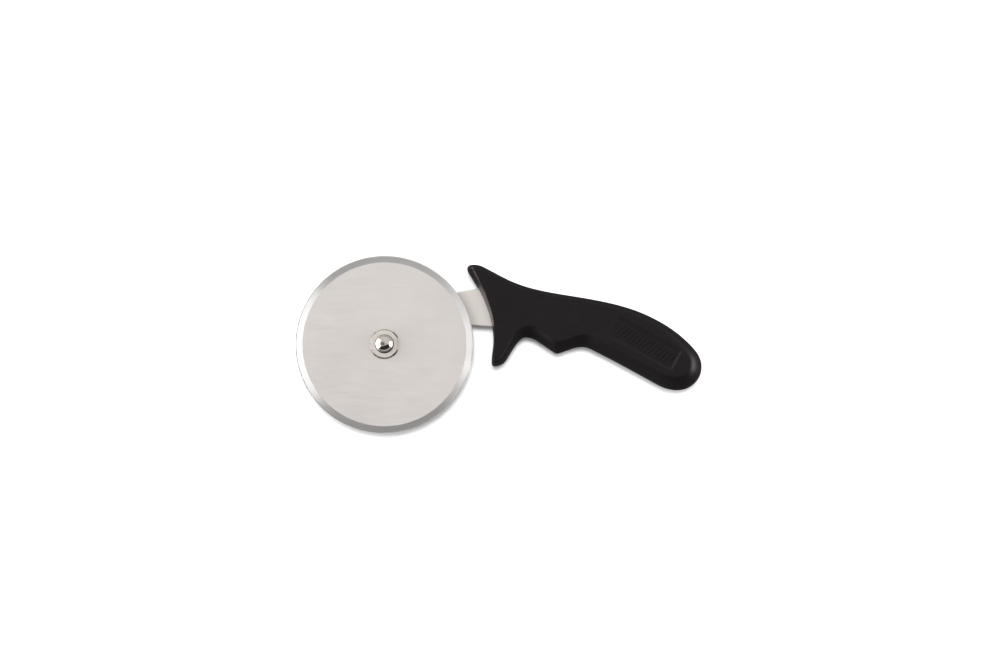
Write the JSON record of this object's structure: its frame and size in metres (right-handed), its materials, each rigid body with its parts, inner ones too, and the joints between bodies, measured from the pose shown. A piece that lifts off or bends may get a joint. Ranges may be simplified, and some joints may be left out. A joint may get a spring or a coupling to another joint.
{
  "type": "pastry cutter wheel",
  "caption": "Pastry cutter: a bevelled steel wheel free to turn on a riveted hub, carried by a curved steel shank in a moulded finger-guard pistol handle.",
  "frame": {"origin": "on the wheel's axis, at the flat rear end face of the axle rivet", "axes": "+Z along the wheel's axis, out of the front of the wheel; +X from the wheel towards the handle's butt, the longest extent; +Y towards the handle's spine"},
  "size_m": [0.2322, 0.1016, 0.02],
  "materials": {
    "ground_steel": "stainless blade, straight ground grain, with a circumferential grind on the bevel",
    "stamped_steel": "stainless strip, satin, with rounded stamped edges",
    "turned_steel": "stainless, turned and tumbled",
    "polished_steel": "mirror-polished stainless rivet",
    "bearing_steel": "fine-turned stainless sleeve",
    "acetal": "natural white acetal",
    "black_plastic": "moulded black polypropylene, fine satin texture"
  },
  "bodies": {
    "grip": {"handle": "black_plastic", "shank": "stamped_steel", "axle_rivet": "polished_steel", "axle_sleeve": "bearing_steel", "rear_washer": "turned_steel", "spacer_washer": "turned_steel", "thrust_washer": "acetal"},
    "wheel": {"blade": "ground_steel", "hub_bush": "turned_steel", "hub_ring": "turned_steel"}
  },
  "joints": [
    {"name": "wheel_spin", "type": "hinge", "parent": "grip", "child": "wheel", "pos_m": [0, 0, 0.0076], "axis": [0, 0, 1], "continuous": true}
  ]
}
